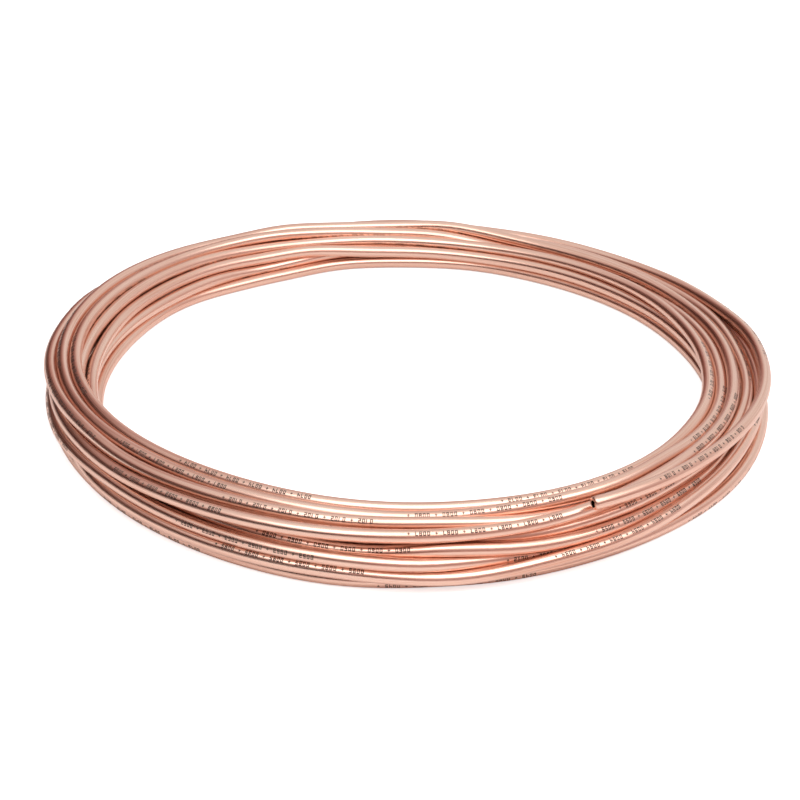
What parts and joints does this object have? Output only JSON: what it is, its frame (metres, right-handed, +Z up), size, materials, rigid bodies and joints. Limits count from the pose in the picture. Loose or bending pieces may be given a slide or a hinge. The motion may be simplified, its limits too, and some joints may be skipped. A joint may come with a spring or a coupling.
{
  "type": "copper tube coil",
  "caption": "Loose round coil of bright soft copper tube lying flat, with an open eye and the cut free end lying on top.",
  "frame": {"origin": "on the floor, under the middle of the coil's eye", "axes": "+Z up, along the coil's axis; -Y towards the side where the free end lies; +X to the right of it"},
  "size_m": [0.588, 0.588, 0.0544],
  "materials": {
    "copper": "bright drawn copper, satin, with fine lines along the tube"
  },
  "bodies": {
    "root": {"copper_tube": "copper"}
  },
  "joints": []
}
